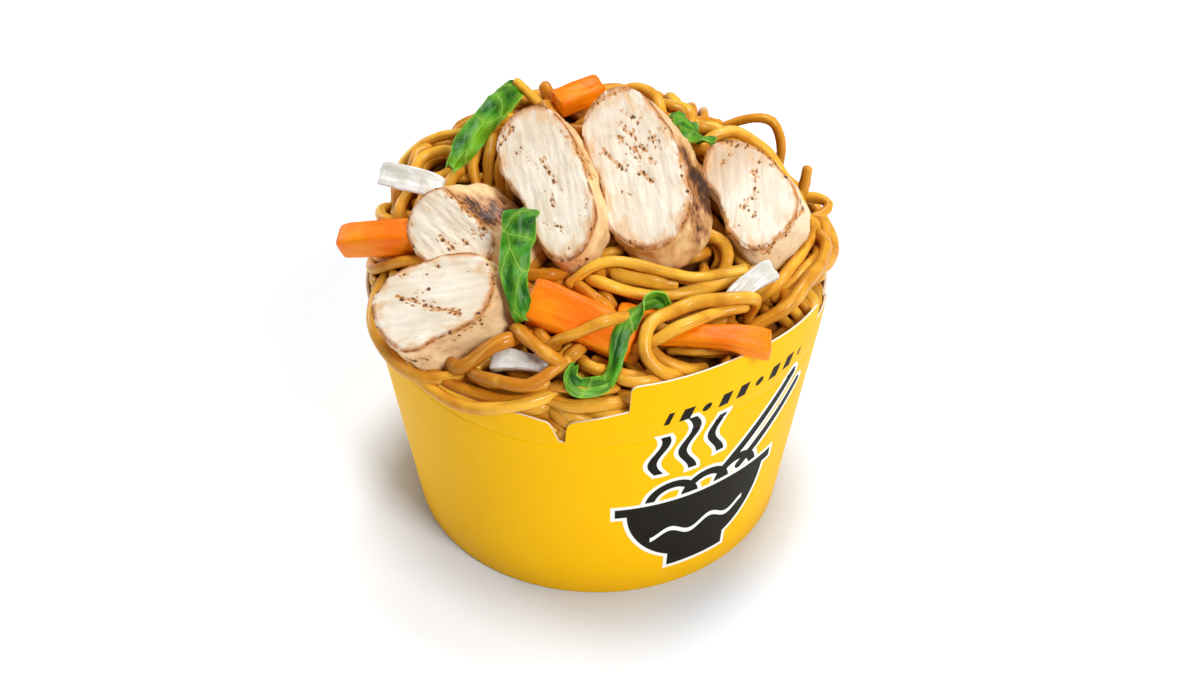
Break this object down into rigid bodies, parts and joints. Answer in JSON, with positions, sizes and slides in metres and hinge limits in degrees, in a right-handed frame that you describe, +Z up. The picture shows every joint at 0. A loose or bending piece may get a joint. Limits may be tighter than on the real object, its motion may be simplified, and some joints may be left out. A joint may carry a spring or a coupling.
{
  "type": "noodle takeaway box",
  "caption": "Round-based card tub with notched flaps, filled with a heap of fried noodles topped with sliced chicken, carrot sticks, leaf strips and onion.",
  "frame": {"origin": "centre of the flat underside of the tub, on the surface it stands on", "axes": "+Z up along the tub's axis, -Y towards the viewer's side with the notch and the printed flap, +X to the right seen from there"},
  "size_m": [0.1136, 0.106, 0.1037],
  "materials": {
    "card": "coated paperboard, yellow print with black and white line art, semi-gloss, white cut edges",
    "noodle": "fried wheat noodles, golden brown, glossy with oil",
    "chicken": "grilled chicken breast, cream cut face with fibres, golden brown edge with char specks",
    "carrot": "cooked carrot, moist orange with lengthwise grain",
    "leaf": "cooked leafy green, glossy, with pale veins",
    "onion": "cooked onion, translucent white, moist, with soft ridges"
  },
  "bodies": {
    "root": {"tub": "card", "noodles": "noodle", "chicken_1": "chicken", "chicken_2": "chicken", "chicken_3": "chicken", "chicken_4": "chicken", "chicken_5": "chicken", "carrot_1": "carrot", "carrot_2": "carrot", "carrot_3": "carrot", "carrot_4": "carrot", "carrot_5": "carrot", "leaf_1": "leaf", "leaf_2": "leaf", "leaf_3": "leaf", "leaf_4": "leaf", "onion_1": "onion", "onion_2": "onion", "onion_3": "onion"}
  },
  "joints": []
}
